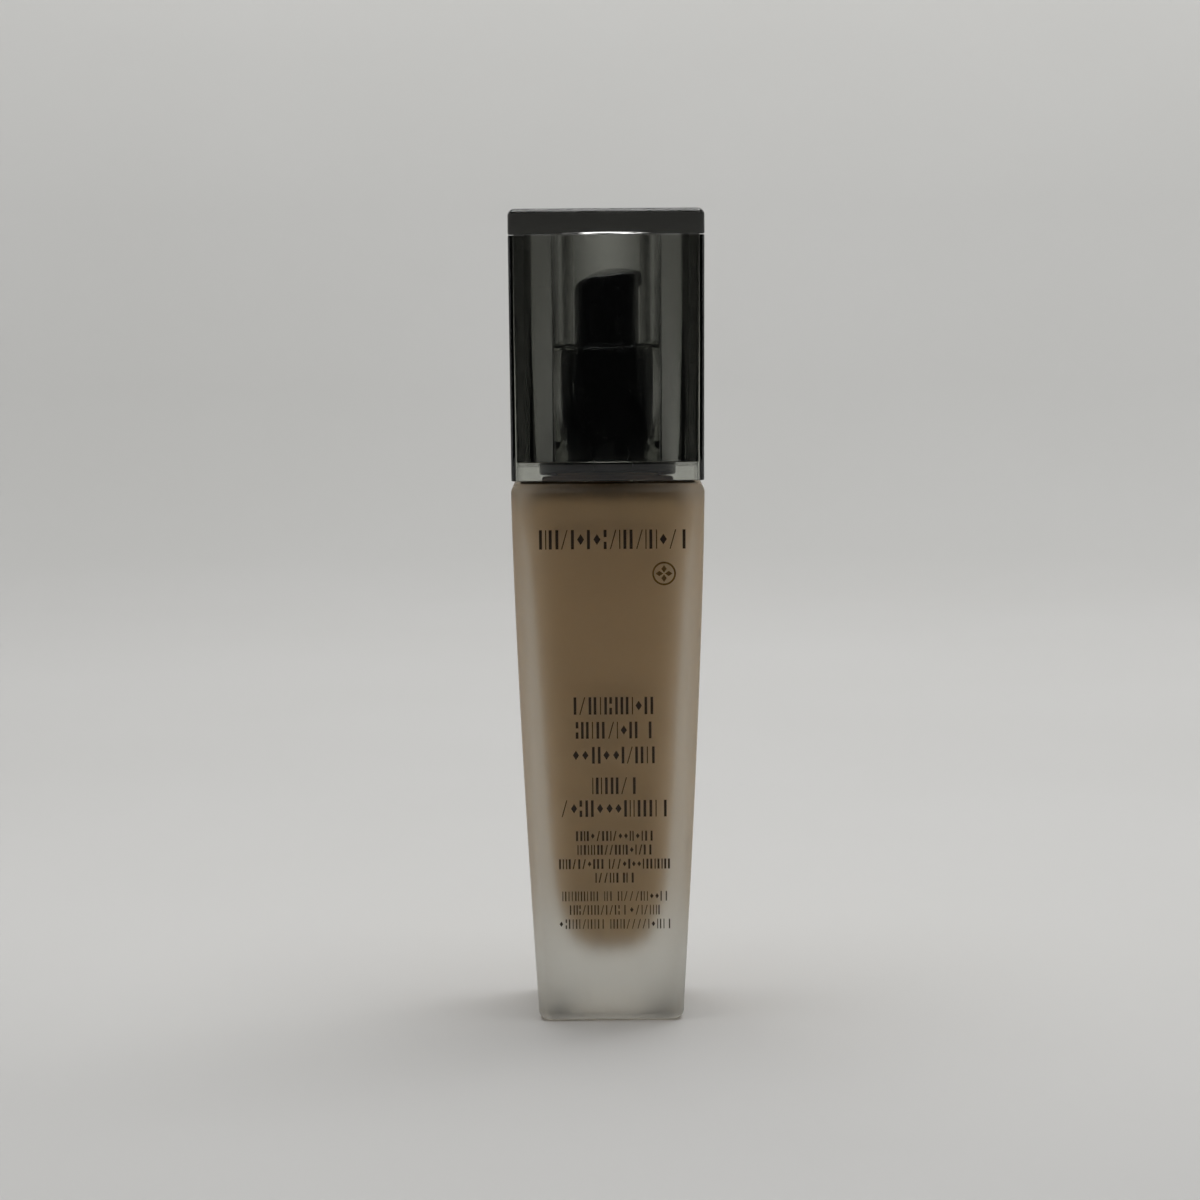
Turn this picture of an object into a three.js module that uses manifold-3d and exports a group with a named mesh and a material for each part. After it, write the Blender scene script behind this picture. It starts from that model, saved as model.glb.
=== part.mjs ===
// Foundation bottle: a tapered square bottle of frosted glass with a snap-on lotion pump and a square
// over-cap. Millimetres, +Z up. The origin is the centre of the base, on the surface it stands on, and
// the spout points along +X.
import * as THREE from "three";
import { mergeVertices } from "three/addons/utils/BufferGeometryUtils.js";
import Module from "manifold-3d";

const wasm = await Module();
wasm.setup();

// ---------- driving dimensions ----------
const totalHeight = 132;
const bodyHalf = 15.55; // half the square's width at the shoulder
const baseHalf = 11.78; // half the square's width at the foot
const shoulderZ = 88.3; // top face of the glass body
const capBottomZ = 88.8;
const collarRadius = 11.2;
const collarBottomZ = 90.3;
const collarTopZ = 110;
const headRadius = 7.7;
const headTopZ = 121.8;
const spoutReach = 9.1; // from the axis to the tip of the spout

// Gaps between pieces
const slideGap = 0.15; // radial, between coaxial sliding or pressed pieces
const stackGap = 0.1; // between faces that sit on each other
const fluidGap = 0.3; // between the fluid and what it touches

// Roundness
const fine = 40; // facets round a large turned piece
const coarse = 24; // facets round a small one

// ---------- helpers ----------

// A solid of revolution about Z. The profile is [radius, z] pairs, anticlockwise with the radius to the
// right, and either starts and ends on the axis or is a closed loop round a ring's section.
function turned(profile, facets = fine) {
  const onAxis = profile[0][0] === 0 && profile.at(-1)[0] === 0;
  const loop = onAxis ? profile : [...profile, profile[0]];
  const points = loop.map(([r, z]) => new THREE.Vector2(r, z));
  return new THREE.LatheGeometry(points, facets).rotateX(Math.PI / 2);
}

// The [radius, z] section of a plain ring.
const ring = (inner, outer, low, high) => [
  [inner, low],
  [outer, low],
  [outer, high],
  [inner, high],
];

// A square outline with rounded corners, centred on the origin.
function roundedSquare(half, corner) {
  const flat = half - corner;
  const outline = new THREE.Shape();
  outline.absarc(flat, flat, corner, 0, Math.PI / 2);
  outline.absarc(-flat, flat, corner, Math.PI / 2, Math.PI);
  outline.absarc(-flat, -flat, corner, Math.PI, 1.5 * Math.PI);
  outline.absarc(flat, -flat, corner, 1.5 * Math.PI, 2 * Math.PI);
  outline.closePath();
  return outline;
}

// A square column with rounded corners whose width changes with height: one extrusion step for each
// [z, half width] station. The corner is the radius at the first outline's full size.
function column(half, corner, stations, curveSegments = 3) {
  const steps = stations.length - 1;
  const settings = { depth: steps, steps, bevelEnabled: false, curveSegments };
  const geometry = new THREE.ExtrudeGeometry(roundedSquare(half, corner), settings);
  const position = geometry.attributes.position;
  for (let i = 0; i < position.count; i++) {
    const [z, width] = stations[Math.round(position.getZ(i))];
    const scale = width / half;
    position.setXYZ(i, position.getX(i) * scale, position.getY(i) * scale, z);
  }
  return geometry;
}

// Stations of an edge rounded by a quarter circle, from the flat face at faceZ to the side wall.
function roundedEdge(faceZ, radius, towards, widthAt, steps = 3) {
  return Array.from({ length: steps + 1 }, (_, k) => {
    const angle = (k / steps) * (Math.PI / 2);
    const z = faceZ + towards * radius * (1 - Math.cos(angle));
    return [z, widthAt(z) - radius * (1 - Math.sin(angle))];
  });
}

const evenly = (from, to, count) =>
  Array.from({ length: count }, (_, k) => from + ((to - from) * (k + 1)) / (count + 1));

// A manifold solid from a closed three.js geometry.
function solid(geometry) {
  const bare = geometry.clone();
  bare.deleteAttribute("normal");
  bare.deleteAttribute("uv");
  const merged = mergeVertices(bare, 1e-3);
  const vertProperties = merged.attributes.position.array;
  const triVerts = new Uint32Array(merged.index.array);
  return new wasm.Manifold(new wasm.Mesh({ numProp: 3, vertProperties, triVerts }));
}

function geometryOf(manifold) {
  const mesh = manifold.getMesh();
  const geometry = new THREE.BufferGeometry();
  geometry.setAttribute("position", new THREE.BufferAttribute(mesh.vertProperties, 3));
  geometry.setIndex(new THREE.BufferAttribute(mesh.triVerts, 1));
  geometry.computeVertexNormals();
  return geometry;
}

function joined(...geometries) {
  return geometries.map(solid).reduce((all, next) => all.add(next));
}

function cut(base, ...tools) {
  const start = base instanceof THREE.BufferGeometry ? solid(base) : base;
  return geometryOf(tools.map(solid).reduce((left, tool) => left.subtract(tool), start));
}

// A straight bar of round section between two points, for cross holes and spouts.
function bar(from, to, radius, facets = 12) {
  const start = new THREE.Vector3(...from);
  const along = new THREE.Vector3(...to).sub(start);
  const turn = new THREE.Quaternion().setFromUnitVectors(
    new THREE.Vector3(0, 1, 0),
    along.clone().normalize(),
  );
  return new THREE.CylinderGeometry(radius, radius, along.length(), facets)
    .applyQuaternion(turn)
    .translate(...start.addScaledVector(along, 0.5).toArray());
}

// ---------- materials ----------
const finish = (color, roughness, metalness = 0, extra = {}) =>
  new THREE.MeshStandardMaterial({ color, roughness, metalness, ...extra });
const seeThrough = (opacity) => ({ transparent: true, opacity });
const frostedGlass = finish(0xd5d8d0, 0.45, 0, seeThrough(0.45));
const fluidBeige = finish(0xb98e68, 0.4);
const clearPlastic = finish(0xeef0ee, 0.03, 0, seeThrough(0.25));
const smokedPlastic = finish(0x24262a, 0.04, 0, seeThrough(0.6));
const glossBlack = finish(0x0b0c0f, 0.15);
const paleMoulding = finish(0xe9e8e2, 0.35);
const naturalTube = finish(0xf2f2ee, 0.3, 0, seeThrough(0.7));
const sealGrey = finish(0xc9c9c4, 0.6);
const steel = finish(0xb9bcc0, 0.25, 1);

const group = new THREE.Group();
function piece(name, geometry, material) {
  const mesh = new THREE.Mesh(geometry, material);
  mesh.name = name;
  group.add(mesh);
}

// ---------- glass bottle ----------
const shoulderEdge = 1.5;
const footEdge = 1.4;
const bodyCorner = 2.4;
const taperPower = 1.37; // the sides are straight near the foot and turn upright at the shoulder
const bossRadius = 10.8; // a low step round the neck's foot, under the collar
const neckRadius = 8.4;
const neckBead = 9.2; // the snap ring's claws catch under this bead
const neckTopZ = 98.3;
const neckBore = 5.4;
const recessRadius = 7.6;
const recessDepth = 0.6;

const bodyWidth = (z) =>
  bodyHalf - (bodyHalf - baseHalf) * Math.max(0, 1 - z / shoulderZ) ** taperPower;

function glassBody() {
  return column(bodyHalf, bodyCorner, [
    ...roundedEdge(0, footEdge, 1, bodyWidth),
    ...evenly(footEdge, shoulderZ - shoulderEdge, 7).map((z) => [z, bodyWidth(z)]),
    ...roundedEdge(shoulderZ, shoulderEdge, -1, bodyWidth).reverse(),
  ]);
}

function glassNeck() {
  const beadLowZ = neckTopZ - 3.6;
  return turned([
    [0, shoulderZ - 1],
    [bossRadius, shoulderZ - 1],
    [bossRadius, shoulderZ + 1.4],
    [bossRadius - 0.3, shoulderZ + 1.7],
    [neckRadius, shoulderZ + 1.8],
    [neckRadius, beadLowZ],
    [neckBead, beadLowZ + 0.8],
    [neckBead, neckTopZ - 1.2],
    [neckRadius, neckTopZ],
    [0, neckTopZ],
  ]);
}

// The inside is a rounded square: [z, half width] from the round-bottomed well up to the shoulder.
const cavityCorner = 0.4; // corner radius as a share of the half width
const cavityShape = [
  [10.6, 2.9],
  [11.2, 4.4],
  [12.4, 5.9],
  [14.5, 7.2],
  [17.5, 8.3],
  [21.5, 9.2],
  [33, 10.2],
  [46, 10.9],
  [58, 11.6],
  [68, 12.2],
  [77, 12.9],
  [84.6, 13.9],
  [86.3, 13.4],
  [87, 12.1],
];
const cavityFloorZ = cavityShape[0][0];
const cavityTopZ = cavityShape.at(-1)[0];
const cavityMouthHalf = 13.9;

// The cavity, or with an inset the block of fluid that stands that far clear of its walls.
function cavity(inset = 0) {
  const squeeze = 1 - (2 * inset) / (cavityTopZ - cavityFloorZ);
  const stations = cavityShape.map(([z, half]) => [
    cavityFloorZ + inset + (z - cavityFloorZ) * squeeze,
    half - inset,
  ]);
  return column(cavityMouthHalf, cavityMouthHalf * cavityCorner, stations);
}

const boreTool = turned([
  [0, cavityTopZ - 3],
  [neckBore, cavityTopZ - 3],
  [neckBore, neckTopZ + 1],
  [0, neckTopZ + 1],
]);
const recessTool = turned([
  [0, -1],
  [recessRadius, -1],
  [recessRadius, recessDepth * 0.4],
  [recessRadius - 0.8, recessDepth],
  [0, recessDepth],
]);
const glass = cut(joined(glassBody(), glassNeck()), cavity(), boreTool, recessTool);
piece("glass_bottle", glass, frostedGlass);

// ---------- pump housing and what is inside it ----------
const gasketThickness = 0.9;
const housingSeatZ = neckTopZ + gasketThickness + 2 * stackGap;
const flangeThickness = 1.2;
const flangeTopZ = housingSeatZ + flangeThickness;
const flangeRadius = 7.9;
const barrelRadius = 4.9;
const barrelBore = 3.9;
const chamberFloorZ = 73.5; // the ball's seat is below it
const seatBore = 1.1;
const ballRadius = 1.5;
const socketBore = 1.75; // holds the dip tube
const socketBottomZ = 63.5;
const socketRadius = 3;

piece(
  "neck_gasket",
  turned(
    ring(
      neckBore + 0.4,
      neckRadius - 0.6,
      neckTopZ + stackGap,
      neckTopZ + stackGap + gasketThickness,
    ),
  ),
  sealGrey,
);

const socketTopZ = chamberFloorZ - 2.6;
piece(
  "pump_housing",
  turned(
    [
      [barrelBore, chamberFloorZ + 2.4],
      [barrelBore, flangeTopZ],
      [flangeRadius, flangeTopZ],
      [flangeRadius, housingSeatZ],
      [barrelRadius, housingSeatZ],
      [barrelRadius, chamberFloorZ + 1],
      [socketRadius, chamberFloorZ - 2],
      [socketRadius, socketBottomZ],
      [socketBore + 0.3, socketBottomZ],
      [socketBore, socketBottomZ + 0.6],
      [socketBore, socketTopZ],
      [seatBore, socketTopZ],
      [seatBore, chamberFloorZ - 0.9],
      [ballRadius + 0.35, chamberFloorZ],
      [ballRadius + 0.35, chamberFloorZ + 2.4],
    ].reverse(),
    coarse,
  ),
  paleMoulding,
);

// The ball's side rests on the seat's cone, a little above the seat's bore.
const ballCentreZ = chamberFloorZ + 0.2;
piece(
  "inlet_ball",
  new THREE.SphereGeometry(ballRadius, 16, 10).rotateX(Math.PI / 2).translate(0, 0, ballCentreZ),
  steel,
);

// A slotted ring over the ball: it keeps the ball near its seat and carries the spring.
const cageLowZ = chamberFloorZ + 2.4 + stackGap;
const cageTopZ = cageLowZ + 1.3;
function ballCage() {
  const body = turned(ring(0.8, barrelBore - slideGap, cageLowZ, cageTopZ), coarse);
  const slots = [0, 1].map((k) =>
    new THREE.BoxGeometry(5.4, 0.9, 4).rotateZ((k * Math.PI) / 2).translate(0, 0, cageTopZ),
  );
  return cut(body, ...slots);
}
piece("ball_cage", ballCage(), paleMoulding);

const stemRadius = 2.3;
const stemBore = 1.2;
const stemTopZ = 113.4;
const stemBottomZ = 90.6;
const pistonBottomZ = 88.2;
const pistonTopZ = 93.2;

// The stem is a tube. Its foot is closed by the spindle, above which two cross holes let fluid in.
const portZ = stemBottomZ + 1.1;
piece(
  "pump_stem",
  cut(
    turned(ring(stemBore, stemRadius, stemBottomZ, stemTopZ), coarse),
    bar([-4, 0, portZ], [4, 0, portZ], 0.5, 12),
    bar([0, -4, portZ], [0, 4, portZ], 0.5, 12),
  ),
  paleMoulding,
);

const spindleHeadZ = pistonBottomZ - stackGap;
const spindleBottomZ = 85.6;
piece(
  "stem_spindle",
  turned(
    [
      [0, spindleBottomZ],
      [1.6, spindleBottomZ],
      [1.6, spindleBottomZ + 1],
      [3.1, spindleBottomZ + 1],
      [3.1, spindleHeadZ - 0.4],
      [2.5, spindleHeadZ],
      [1.6, spindleHeadZ],
      [stemBore + 0.6, stemBottomZ - stackGap],
      [stemBore - slideGap, stemBottomZ - stackGap],
      [stemBore - slideGap, stemBottomZ + 0.45],
      [0, stemBottomZ + 0.45],
    ],
    coarse,
  ),
  paleMoulding,
);

// The piston wipes the barrel with a lip at each end. Its bore covers the stem's cross holes at rest.
const lipRadius = barrelBore - slideGap;
piece(
  "piston",
  turned(
    [
      [stemRadius + slideGap, pistonBottomZ],
      [lipRadius - 0.5, pistonBottomZ],
      [lipRadius, pistonBottomZ + 0.1],
      [lipRadius, pistonBottomZ + 0.7],
      [lipRadius - 0.8, pistonBottomZ + 1.6],
      [lipRadius - 0.8, pistonTopZ - 1.6],
      [lipRadius, pistonTopZ - 0.7],
      [lipRadius, pistonTopZ],
      [stemRadius + slideGap, pistonTopZ],
    ],
    coarse,
  ),
  sealGrey,
);

// The guide closes the housing's mouth and steers the stem.
const guideTopZ = flangeTopZ + 2.1;
const guideHeadRadius = 6;
piece(
  "stem_guide",
  turned(
    [
      [stemRadius + slideGap, flangeTopZ - 3.2],
      [barrelBore - slideGap, flangeTopZ - 3.2],
      [barrelBore - slideGap, flangeTopZ + stackGap],
      [guideHeadRadius, flangeTopZ + stackGap],
      [guideHeadRadius, guideTopZ - 0.6],
      [guideHeadRadius - 0.6, guideTopZ],
      [stemRadius + slideGap, guideTopZ],
    ],
    coarse,
  ),
  paleMoulding,
);

// ---------- return spring ----------
const springWire = 0.3; // wire radius
const springRadius = 2.45; // to the wire's centre
const springTurns = 5.5;
const springLowZ = cageTopZ + springWire + stackGap;
const springHighZ = spindleBottomZ + 1 - springWire - stackGap;

class Helix extends THREE.Curve {
  getPoint(t, target = new THREE.Vector3()) {
    const angle = 2 * Math.PI * springTurns * t;
    const z = springLowZ + (springHighZ - springLowZ) * t;
    return target.set(springRadius * Math.cos(angle), springRadius * Math.sin(angle), z);
  }
}

function springCoil() {
  const section = new THREE.Shape().absarc(0, 0, springWire, 0, 2 * Math.PI);
  return new THREE.ExtrudeGeometry(section, {
    steps: Math.round(springTurns * 12),
    curveSegments: 3,
    extrudePath: new Helix(),
  });
}
piece("return_spring", springCoil(), steel);

// ---------- dip tube ----------
const tubeRadius = 1.6;
const tubeBore = 1.1;
const tubeTopZ = socketTopZ - stackGap;
const tubeTipZ = 12.2;
function dipTube() {
  const straight = turned(ring(tubeBore, tubeRadius, tubeTipZ, tubeTopZ), 20);
  const slantCut = new THREE.BoxGeometry(12, 12, 6)
    .translate(0, 0, -3)
    .rotateY(Math.PI / 5)
    .translate(0, 0, tubeTipZ + 0.9);
  return cut(straight, slantCut);
}
piece("dip_tube", dipTube(), naturalTube);

// ---------- foundation fluid ----------
function fluid() {
  const pumpSpace = turned([
    [0, tubeTipZ - fluidGap],
    [tubeRadius + fluidGap, tubeTipZ - fluidGap],
    [tubeRadius + fluidGap, socketBottomZ - fluidGap],
    [socketRadius + fluidGap, socketBottomZ - fluidGap],
    [socketRadius + fluidGap, chamberFloorZ - 2.2],
    [barrelRadius + fluidGap, chamberFloorZ + 0.8],
    [barrelRadius + fluidGap, cavityTopZ + 2],
    [0, cavityTopZ + 2],
  ]);
  return cut(cavity(fluidGap), pumpSpace);
}
piece("foundation_fluid", fluid(), fluidBeige);

// ---------- snap ring and collar ----------
// The ring clips under the neck's bead and holds the housing's flange down on the gasket.
const snapOuter = 9.95;
const snapInner = neckBead + slideGap;
const clawRadius = neckRadius + 0.25;
const snapTopZ = flangeTopZ + stackGap + 1.2;
const snapBottomZ = 91.1;
piece(
  "snap_ring",
  turned([
    [clawRadius, snapBottomZ + 0.8],
    [snapInner, snapBottomZ],
    [snapOuter, snapBottomZ],
    [snapOuter, snapTopZ],
    [guideHeadRadius + 0.3, snapTopZ],
    [guideHeadRadius + 0.3, flangeTopZ + stackGap],
    [snapInner, flangeTopZ + stackGap],
    [snapInner, neckTopZ - 3.3],
    [clawRadius, neckTopZ - 3.9],
  ]),
  paleMoulding,
);

// The collar is the tall black sleeve. Its top is a lip round the head, and it locks the snap ring.
const collarBore = snapOuter + slideGap;
const collarLipZ = collarTopZ - 1.3;
const headHole = headRadius + 0.3;
piece(
  "collar",
  turned([
    [collarBore, collarBottomZ],
    [collarRadius - 0.5, collarBottomZ],
    [collarRadius, collarBottomZ + 0.5],
    [collarRadius, collarTopZ - 0.4],
    [collarRadius - 0.4, collarTopZ],
    [headHole, collarTopZ],
    [headHole, collarLipZ],
    [collarBore, collarLipZ],
  ]),
  glossBlack,
);

// ---------- press head ----------
const headBottomZ = 107.9; // the skirt's foot, hidden in the collar
const skirtBore = 6.9;
const roofZ = 116.3; // underside of the head's solid top
const beakZ = 118.3; // where the beak's underside leaves the round side
const beakHalfWidth = 2.6;
const outletZ = 120.1;
const outletBore = 0.45;
const insertReach = 6.2; // how far the core's side tube goes into the beak

// Side view of the head: a flat crown, rounded at the back, that runs out into a short hooked beak.
function headSideView() {
  const beyond = headRadius + 2;
  const outline = new THREE.Shape();
  outline.moveTo(-beyond, headBottomZ);
  outline.lineTo(beyond, headBottomZ);
  outline.lineTo(beyond, beakZ);
  outline.lineTo(headRadius, beakZ);
  outline.quadraticCurveTo(headRadius + 0.1, beakZ + 1, spoutReach - 0.3, beakZ + 1.15);
  outline.quadraticCurveTo(spoutReach, outletZ - 0.5, spoutReach, outletZ + 0.2);
  outline.quadraticCurveTo(spoutReach - 0.3, headTopZ - 0.45, spoutReach - 1.7, headTopZ - 0.25);
  outline.quadraticCurveTo(3.4, headTopZ + 0.15, 0.3, headTopZ - 0.15);
  outline.quadraticCurveTo(-6.4, headTopZ - 0.9, -headRadius, headTopZ - 3.3);
  outline.lineTo(-beyond, headTopZ - 5.5);
  return outline;
}

// Plan view of the beak, which narrows a little to its blunt tip.
function beakPlan() {
  const tipHalf = beakHalfWidth - 0.9;
  const outline = new THREE.Shape();
  outline.moveTo(0, -beakHalfWidth - 1);
  outline.lineTo(headRadius - 0.8, -beakHalfWidth - 0.2);
  outline.quadraticCurveTo(spoutReach - 0.3, -beakHalfWidth, spoutReach, -tipHalf);
  outline.lineTo(spoutReach, tipHalf);
  outline.quadraticCurveTo(spoutReach - 0.3, beakHalfWidth, headRadius - 0.8, beakHalfWidth + 0.2);
  outline.lineTo(0, beakHalfWidth + 1);
  return outline;
}

function headBlank() {
  const width = 2 * headRadius + 2;
  const sideSettings = { depth: width, bevelEnabled: false, curveSegments: 6 };
  const slab = new THREE.ExtrudeGeometry(headSideView(), sideSettings)
    .rotateX(Math.PI / 2)
    .translate(0, width / 2, 0);
  const barrel = turned([
    [0, headBottomZ],
    [headRadius, headBottomZ],
    [headRadius, headTopZ + 1],
    [0, headTopZ + 1],
  ]);
  const beakSettings = { depth: headTopZ + 1 - beakZ, bevelEnabled: false, curveSegments: 3 };
  const beak = new THREE.ExtrudeGeometry(beakPlan(), beakSettings).translate(0, 0, beakZ);
  return solid(slab).intersect(joined(barrel, beak));
}

// The shell is hollow below its roof. The core inside it has a socket for the stem, an upright channel
// and a side tube, which leads to the outlet in the beak.
const channelRadius = 1.9;
const channelTopZ = 120.6;
const sideTubeRadius = 0.85;
piece(
  "press_head",
  cut(
    headBlank(),
    turned([
      [0, headBottomZ - 1],
      [skirtBore, headBottomZ - 1],
      [skirtBore, roofZ],
      [channelRadius + slideGap, roofZ],
      [channelRadius + slideGap, channelTopZ + stackGap],
      [0, channelTopZ + stackGap],
    ]),
    bar([0, 0, outletZ], [insertReach + stackGap, 0, outletZ], sideTubeRadius + slideGap),
    bar([insertReach, 0, outletZ], [spoutReach + 1, 0, outletZ], outletBore),
  ),
  glossBlack,
);

const socketFootZ = 109;
const socketWallRadius = 3.7;
const discThickness = 1.4;
function headCore() {
  const body = turned(
    [
      [0, socketFootZ],
      [socketWallRadius, socketFootZ],
      [socketWallRadius, roofZ - stackGap - discThickness],
      [skirtBore - slideGap, roofZ - stackGap - discThickness],
      [skirtBore - slideGap, roofZ - stackGap],
      [channelRadius, roofZ - stackGap],
      [channelRadius, channelTopZ],
      [0, channelTopZ],
    ],
    coarse,
  );
  const sideTube = bar([0, 0, outletZ], [insertReach, 0, outletZ], sideTubeRadius);
  const channel = turned(
    [
      [0, socketFootZ - 1],
      [stemRadius + slideGap, socketFootZ - 1],
      [stemRadius + slideGap, stemTopZ + stackGap],
      [stemBore, stemTopZ + stackGap],
      [stemBore, channelTopZ - 0.6],
      [0, channelTopZ - 0.6],
    ],
    coarse,
  );
  const outlet = bar([0, 0, outletZ], [insertReach + 1, 0, outletZ], outletBore);
  return cut(joined(body, sideTube), channel, outlet);
}
piece("head_core", headCore(), glossBlack);

// ---------- over-cap ----------
const capTopHalf = 15.6; // half the square's width at the top
const capFootHalf = 15.42; // and at the foot: the cap narrows slightly downwards
const capCorner = 1;
const plateLowZ = 127.9; // underside of the core's square top plate
const plateEdge = 1.1;
const sleeveWall = 0.8;
const sleeveGap = 0.1; // between the sleeve and the core's block
const blockCorner = 0.3;
const coreBottomZ = 91.8;
const coreBore = 13.3;
const capCeilingZ = 128.5;

// The sleeve is a clear square tube, open at both ends.
function capSleeve() {
  const topZ = plateLowZ - stackGap;
  const outside = column(capTopHalf, capCorner, [
    [capBottomZ, capFootHalf],
    [topZ, capTopHalf],
  ]);
  const inside = column(capTopHalf - sleeveWall, capCorner - 0.6, [
    [capBottomZ - 1, capFootHalf - sleeveWall],
    [capBottomZ, capFootHalf - sleeveWall],
    [topZ, capTopHalf - sleeveWall],
    [topZ + 1, capTopHalf - sleeveWall],
  ]);
  return cut(outside, inside);
}
piece("cap_sleeve", capSleeve(), clearPlastic);

// The core is smoked: a thick square block on a wider top plate, bored out from below.
function capCore() {
  const plate = column(capTopHalf, capCorner, [
    [plateLowZ, capTopHalf - 0.15],
    [plateLowZ + 0.15, capTopHalf],
    ...roundedEdge(totalHeight, plateEdge, -1, () => capTopHalf).reverse(),
  ]);
  const blockTopHalf = capTopHalf - sleeveWall - sleeveGap;
  const blockFootHalf = capFootHalf - sleeveWall - sleeveGap;
  const block = column(blockTopHalf, blockCorner, [
    [coreBottomZ, blockFootHalf - 0.2],
    [coreBottomZ + 0.2, blockFootHalf],
    [plateLowZ, blockTopHalf],
    [plateLowZ + 0.5, blockTopHalf],
  ]);
  const bore = turned([
    [0, coreBottomZ - 1],
    [coreBore, coreBottomZ - 1],
    [coreBore, capCeilingZ - 0.5],
    [coreBore - 0.5, capCeilingZ],
    [0, capCeilingZ],
  ]);
  return cut(joined(plate, block), bore);
}
piece("cap_core", capCore(), smokedPlastic);

// The liner is a stepped tube. Its thick foot grips the collar, and it is wider inside round the head.
const linerOuter = coreBore - slideGap;
const gripBore = collarRadius + slideGap;
const headRoom = 12.2;
const linerTopZ = capCeilingZ - 0.6;
piece(
  "cap_liner",
  turned([
    [gripBore + 0.3, coreBottomZ],
    [linerOuter, coreBottomZ],
    [linerOuter, linerTopZ],
    [headRoom, linerTopZ],
    [headRoom, collarTopZ + 0.7],
    [gripBore, collarTopZ - 0.2],
    [gripBore, coreBottomZ + 0.6],
  ]),
  clearPlastic,
);

export default group;
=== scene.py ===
"""The looks of the foundation bottle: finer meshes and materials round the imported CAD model."""

import math

import bpy
import numpy as np
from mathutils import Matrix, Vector


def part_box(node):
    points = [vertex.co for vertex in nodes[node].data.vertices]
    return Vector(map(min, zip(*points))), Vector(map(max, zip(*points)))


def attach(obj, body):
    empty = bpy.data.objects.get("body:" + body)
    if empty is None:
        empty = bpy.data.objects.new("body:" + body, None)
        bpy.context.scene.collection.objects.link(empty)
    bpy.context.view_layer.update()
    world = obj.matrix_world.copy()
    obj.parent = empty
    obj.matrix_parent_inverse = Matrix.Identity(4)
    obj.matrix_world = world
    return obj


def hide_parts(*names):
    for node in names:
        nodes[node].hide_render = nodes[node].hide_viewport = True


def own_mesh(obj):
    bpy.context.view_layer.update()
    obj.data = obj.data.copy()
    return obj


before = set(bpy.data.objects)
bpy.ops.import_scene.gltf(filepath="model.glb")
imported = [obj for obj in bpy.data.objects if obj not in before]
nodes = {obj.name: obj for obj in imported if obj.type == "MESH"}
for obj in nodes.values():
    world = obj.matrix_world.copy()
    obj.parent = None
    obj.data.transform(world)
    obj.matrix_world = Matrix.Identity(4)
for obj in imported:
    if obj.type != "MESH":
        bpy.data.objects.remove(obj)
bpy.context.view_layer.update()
MM = 0.001  # lengths below are in millimetres until a mesh is made


def size_of(node):
    """A CAD node's lowest and highest corners in millimetres."""
    low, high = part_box(node)
    return low / MM, high / MM


# ---------------------------------------------------------------- meshes

SIDE_STEPS = 24  # points along each flat side of a rounded square
CORNER_STEPS = 16  # points round each of its corners
RING_POINTS = 4 * (SIDE_STEPS + CORNER_STEPS)


def square_ring(half, corner, z):
    """A rounded square, its points spaced so that they pair with those of round_ring."""
    flat = half - corner
    points = []
    for quarter in range(4):
        c, s = math.cos(quarter * math.pi / 2), math.sin(quarter * math.pi / 2)
        side = [
            (half, flat * math.tan(math.radians(90 * i / SIDE_STEPS - 45)))
            for i in range(SIDE_STEPS)
        ]
        arc = [math.pi / 2 * j / CORNER_STEPS for j in range(CORNER_STEPS)]
        bend = [(flat + corner * math.cos(a), flat + corner * math.sin(a)) for a in arc]
        points += [(x * c - y * s, x * s + y * c, z) for x, y in side + bend]
    return points


def round_ring(radius, z, count=RING_POINTS):
    start = -math.pi / 4 * SIDE_STEPS / (SIDE_STEPS + CORNER_STEPS)
    angles = [start + 2 * math.pi * k / count for k in range(count)]
    return [(radius * math.cos(a), radius * math.sin(a), z) for a in angles]


def arc_points(centre, radius, start, end, steps):
    """[across, up] points on an arc; the angles are in degrees from straight outwards."""
    angles = [math.radians(start + (end - start) * k / steps) for k in range(steps + 1)]
    return [(centre[0] + radius * math.cos(a), centre[1] + radius * math.sin(a)) for a in angles]


def edge_steps(size, steps=8):
    """Pairs along a rounded edge: the first grows from 0 to size as the second falls to 0."""
    angles = [math.pi / 2 * k / steps for k in range(steps + 1)]
    return [(size * (1 - math.cos(a)), size * (1 - math.sin(a))) for a in angles]


def skin(name, rings, closed="ends", sharp_angle=32):
    """A closed mesh through rings of equal length.

    closed is "ends" for two flat ends, or "loop" where the last ring meets the first."""
    count = len(rings[0])
    vertices = [tuple(MM * c for c in p) for ring in rings for p in ring]
    pairs = list(zip(range(len(rings)), range(1, len(rings))))
    if closed == "loop":
        pairs.append((len(rings) - 1, 0))
    faces = [
        (a * count + k, a * count + (k + 1) % count, b * count + (k + 1) % count, b * count + k)
        for a, b in pairs
        for k in range(count)
    ]
    if closed == "ends":
        faces.append(tuple(range(count))[::-1])
        faces.append(tuple((len(rings) - 1) * count + k for k in range(count)))
    return finished(name, vertices, faces, sharp_angle)


def finished(name, vertices, faces, sharp_angle=32):
    """An object with its faces pointing out, smooth but for edges sharper than sharp_angle."""
    mesh = bpy.data.meshes.new(name)
    mesh.from_pydata(vertices, [], faces)
    mesh.validate()
    if signed_volume(mesh) < 0:
        mesh.flip_normals()
    mesh.shade_smooth()
    mesh.set_sharp_from_angle(angle=math.radians(sharp_angle))
    made = bpy.data.objects.new(name, mesh)
    bpy.context.scene.collection.objects.link(made)
    return made


def signed_volume(mesh):
    mesh.calc_loop_triangles()
    co = np.array([v.co for v in mesh.vertices], float)
    tri = np.array([t.vertices for t in mesh.loop_triangles], int)
    a, b, c = co[tri[:, 0]], co[tri[:, 1]], co[tri[:, 2]]
    return float(np.einsum("ij,ij->", a, np.cross(b, c)))


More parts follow.
